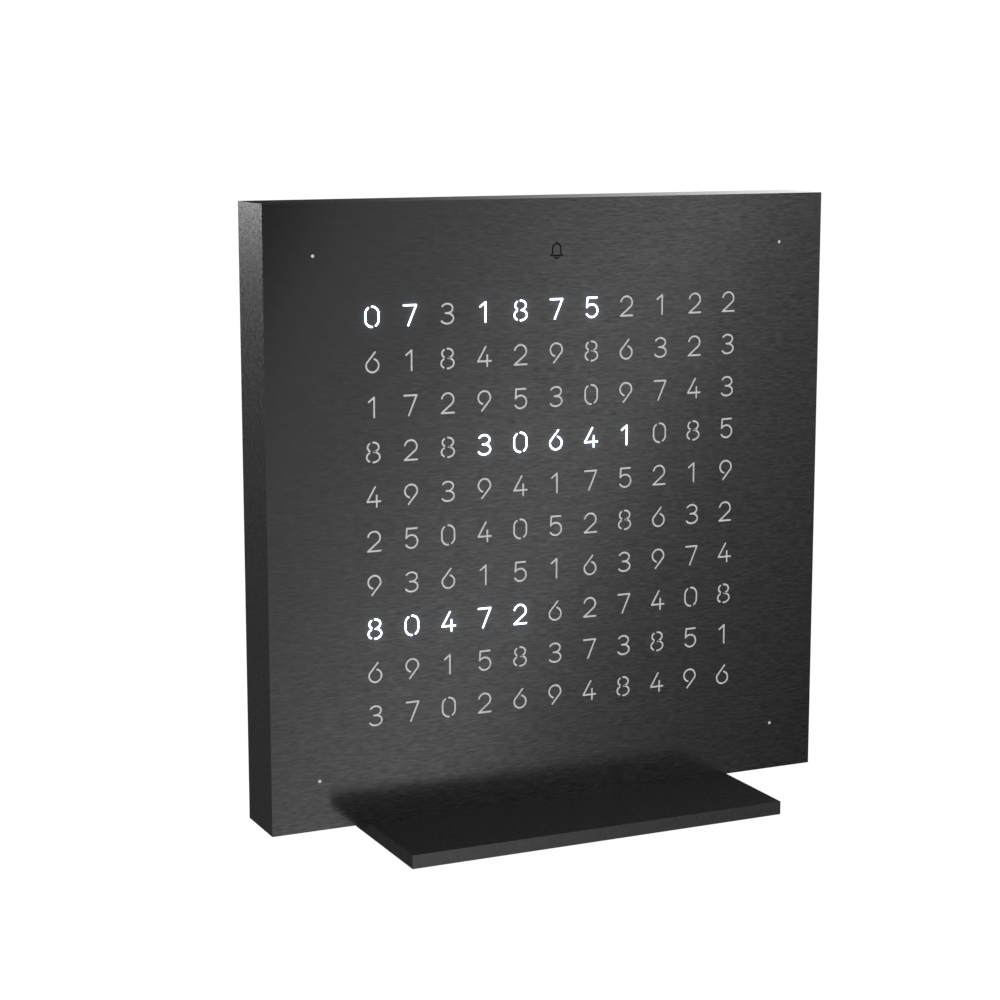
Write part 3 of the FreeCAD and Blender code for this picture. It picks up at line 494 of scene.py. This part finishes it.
# Rear screws: radius, and depth below the top, from the tip over the shank, cone and rim to the socket
SCREW = [(0.5, 6), (0.95, 5.6), (0.95, 0.95), (1.84, 0.06), (1.78, 0), (0.7, 0), (0.62, 0.08), (0.62, 0.7),
         (0.2, 0.85)]
SCREW_SOCKET = (5, 6, 7)  # the rings of the socket's six sides
SCREW_SIDES = 36
HEAD_RADIUS = 1.9  # of the screw's node


def make_rear_screws():
    """Countersunk screws with a hexagonal socket in the rear cover's corners."""
    low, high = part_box("rear_screws")
    top = high.y / MM
    out = (high.x - low.x) / 2 - HEAD_RADIUS * MM
    profile = [(radius, top - depth) for radius, depth in SCREW]
    screws = [turned(profile, np.array([x, 0, FACE_MID + z]), SCREW_SIDES, SCREW_SOCKET)
              for x in (-out, out) for z in (-out, out)]
    points, faces = joined(screws)
    heads = new_piece("rear_screw_set", "housing", "steel", points, faces, "steel")
    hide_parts("rear_screws")


# The inlet's contacts, in millimetres
CONTACT_COUNT = 8
CONTACT_PITCH = 0.72
CONTACT_HALF = 0.16
CONTACT_ENDS = (3.6, 0.3)  # how far behind the tongue's tip they start and end
TONGUE_HALF = 0.35
CONTACT_PROUD = 0.37  # from the tongue's middle to a contact's outer side


def make_socket_contacts():
    """Gilt contacts on both sides of the inlet's tongue."""
    low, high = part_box("socket_tongue")
    middle = (low.z + high.z) / 2
    contacts = []
    for k in range(CONTACT_COUNT):
        x = (k - (CONTACT_COUNT - 1) / 2) * CONTACT_PITCH * MM
        for side in (-1, 1):
            z = sorted((middle + side * TONGUE_HALF * MM, middle + side * CONTACT_PROUD * MM))
            contacts.append(block((x - CONTACT_HALF * MM, high.y - CONTACT_ENDS[0] * MM, z[0]),
                                  (x + CONTACT_HALF * MM, high.y - CONTACT_ENDS[1] * MM, z[1])))
    points, faces = joined(contacts)
    new_piece("socket_contacts", "housing", "contact_brass", points, faces, "contact_brass")


LENS = [(1.06, 0.29), (1.06, 0.06), (0.7, 0), (0.3, 0)]  # radius, and depth behind the LED's front
LENS_SIDES = 16


def make_lenses():
    """The LEDs' lenses: those behind lit signs glow."""
    low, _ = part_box("word_leds")
    profile = [(radius, low.y / MM + depth) for radius, depth in LENS]
    lenses = {"led_lens": [], "led_glow": []}
    spots = [("led_glow" if is_lit(row, column) else "led_lens", sign_place(row, column))
             for row in range(ROWS) for column in range(COLUMNS)]
    spots += [("led_lens", place) for place in [*DOT_PLACES, BELL_PLACE]]
    for kind, (x, z) in spots:
        lenses[kind].append(turned(profile, np.array([x * MM, 0, FACE_MID + z * MM]), LENS_SIDES))
    for kind, solids in lenses.items():
        points, faces = joined(solids)
        new_piece(kind, "housing", "led", points, faces, kind)


for material, names in NODE_MATERIALS.items():
    for name in names:
        dress(nodes[name], material)
make_front()
make_buttons()
make_rear_screws()
make_socket_contacts()
make_lenses()

# The studio

FACE = (0, -0.0075, FACE_MID)  # what the lights are turned to
KEY_PLACE = (-0.55, -0.62, 0.34)
BAND_PLACE = (0.153, -0.4375, 0.0114)
FILL_PLACE = (-1.6, 0.4, 0.4)
RIM_AZIMUTH = 207  # the rim light stands behind the clock, to its left
RIM_ELEVATION = 13
RIM_DISTANCE = 1.3
SLANT = (0.881, 0, -0.473)  # the way across the slanted glow in front of the face
CAMERA_PLACE = (-0.22654, -0.46446, 0.16084)
CAMERA_AIM = (-0.01361, -0.0075, 0.0729)
FOCAL_LENGTH = 84.08
SENSOR_WIDTH = 36
FLOOR_RADIUS = 2.4  # flat part of the floor
FLOOR_CURVE = 0.8  # radius of the curve up into the wall
WALL_TOP = 4.0


def direction(azimuth, elevation):
    """Unit vector: azimuth in degrees from -Y towards +X, elevation above the floor."""
    a, e = np.radians((azimuth, elevation))
    return Vector((np.sin(a) * np.cos(e), -np.cos(a) * np.cos(e), np.sin(e)))


def soft_light(name, place, aim, width, height, power, lean=0.0):
    """A soft rectangular light at a place, turned to aim and leant about its own axis."""
    lamp = bpy.data.lights.new(name, "AREA")
    lamp.shape = "RECTANGLE"
    lamp.size = width
    lamp.size_y = height
    lamp.energy = power
    light = bpy.data.objects.new(name, lamp)
    light.location = place
    light.rotation_euler = (Vector(aim) - Vector(place)).to_track_quat("-Z", "Y").to_euler()
    light.rotation_euler.rotate_axis("Z", np.radians(lean))
    bpy.context.scene.collection.objects.link(light)


def make_surroundings():
    """A pale floor that curves up all round into a plain wall, even and without a horizon.

    Its profile of radius and height, with a quarter circle between floor and wall, is turned about +Z.
    """
    wall = FLOOR_RADIUS + FLOOR_CURVE
    curve = [(FLOOR_RADIUS + FLOOR_CURVE * np.sin(a), FLOOR_CURVE - FLOOR_CURVE * np.cos(a))
             for a in np.radians(np.arange(6, 91, 6))]
    profile = [(0.02, 0), (FLOOR_RADIUS / 2, 0), (FLOOR_RADIUS, 0), *curve,
               (wall, WALL_TOP / 2), (wall, WALL_TOP)]
    angle = np.radians(np.arange(0, 360, 5))
    radius, height = np.array(profile).T
    points = np.stack([np.outer(radius, np.cos(angle)), np.outer(radius, np.sin(angle)),
                       np.repeat(height[:, None], len(angle), axis=1)], axis=-1).reshape(-1, 3)
    quads = ring_quads(len(radius), len(angle))
    mesh = bpy.data.meshes.new("studio_floor")
    mesh.from_pydata(points.tolist(), [], [*quads.tolist(), list(range(len(angle)))])
    floor = bpy.data.objects.new("studio_floor", mesh)
    bpy.context.scene.collection.objects.link(floor)
    paper = new_material("studio_paper", (0.1, 0.1, 0.1), 0.9, Emission_Color=(1, 1, 1, 1),
                         Emission_Strength=1.0, Specular_IOR_Level=0.0)
    floor.data.materials.append(paper)
    for ray in ("diffuse", "glossy", "transmission", "shadow"):
        setattr(floor, f"visible_{ray}", False)


def make_world():
    """Dim light from everywhere and three soft glows, each a product of ramps of the direction.

    depth, across and slant are the direction's parts along +Y, +X and SLANT. One glow is behind the
    clock on the right, one slanted in front of it on the right, and a weak one in front on the left.
    """
    world = bpy.data.worlds.new("studio")
    world.use_nodes = True
    tree = world.node_tree
    background = tree.nodes["Background"]
    background.inputs["Color"].default_value = (1, 1, 1, 1)
    depth = add_along(tree, "Generated", (0, 1, 0))
    across = add_along(tree, "Generated", (1, 0, 0))
    slant = add_along(tree, "Generated", SLANT)
    dim = add_range(tree, depth, -1.0, 0.7, 0.03, 0.02)
    behind = add_math(tree, "MULTIPLY", add_math(tree, "POWER", add_range(tree, across, 0.31, 0.56), 2.8),
                      add_range(tree, depth, -0.05, 0.3, 0.0, 3.0))
    front = add_math(tree, "MULTIPLY", add_range(tree, slant, 0.377, 0.484, kind="SMOOTHSTEP"),
                     add_range(tree, slant, 0.08, 0.635, 6.3, 0.0, kind="SMOOTHSTEP"))
    front = add_math(tree, "MULTIPLY", front, add_range(tree, depth, -0.6, -0.3, 1.0, 0.0))
    left = add_math(tree, "MULTIPLY", add_range(tree, across, -0.15, -0.55, 0.0, 0.4),
                    add_range(tree, depth, -0.6, -0.1, 1.0, 0.0))
    strength = add_math(tree, "ADD", dim, behind)
    strength = add_math(tree, "ADD", strength, front)
    strength = add_math(tree, "ADD", strength, left)
    tree.links.new(strength, background.inputs["Strength"])
    bpy.context.scene.world = world


def make_lights():
    """A key light, a leant band low on the right, a rim light and a fill on the left."""
    ahead_of_band = (BAND_PLACE[0], 0, BAND_PLACE[2])
    rim_place = Vector(FACE) + direction(RIM_AZIMUTH, RIM_ELEVATION) * RIM_DISTANCE
    soft_light("key", KEY_PLACE, FACE, 0.5, 0.5, power=4.5)
    soft_light("band", BAND_PLACE, ahead_of_band, 0.185, 0.62, power=0.26, lean=-28.2)
    soft_light("left_rim", rim_place, FACE, 0.5, 0.5, power=7.7)
    soft_light("left_fill", FILL_PLACE, FACE, 2.0, 2.0, power=14.0)


def make_camera():
    """The camera, slightly above and to the left of the face."""
    scene = bpy.context.scene
    lens = bpy.data.cameras.new("camera")
    lens.lens = FOCAL_LENGTH
    lens.sensor_width = SENSOR_WIDTH
    camera = bpy.data.objects.new("camera", lens)
    camera.location = CAMERA_PLACE
    look = Vector(CAMERA_AIM) - camera.location
    camera.rotation_euler = look.to_track_quat("-Z", "Y").to_euler()
    scene.collection.objects.link(camera)
    scene.camera = camera
    scene.view_settings.view_transform = "Standard"


def add_halo():
    """A faint halo round whatever is brighter than the plain white of the surroundings."""
    scene = bpy.context.scene
    scene.use_nodes = True
    tree = scene.node_tree
    tree.nodes.clear()
    layers = tree.nodes.new("CompositorNodeRLayers")
    glare = tree.nodes.new("CompositorNodeGlare")
    glare.glare_type = "BLOOM"
    glare.quality = "HIGH"
    for socket, value in (("Threshold", 1.2), ("Strength", 0.2), ("Size", 0.03), ("Smoothness", 0.1)):
        glare.inputs[socket].default_value = value
    output = tree.nodes.new("CompositorNodeComposite")
    tree.links.new(layers.outputs["Image"], glare.inputs["Image"])
    tree.links.new(glare.outputs["Image"], output.inputs["Image"])


make_surroundings()
make_world()
make_lights()
make_camera()
add_halo()
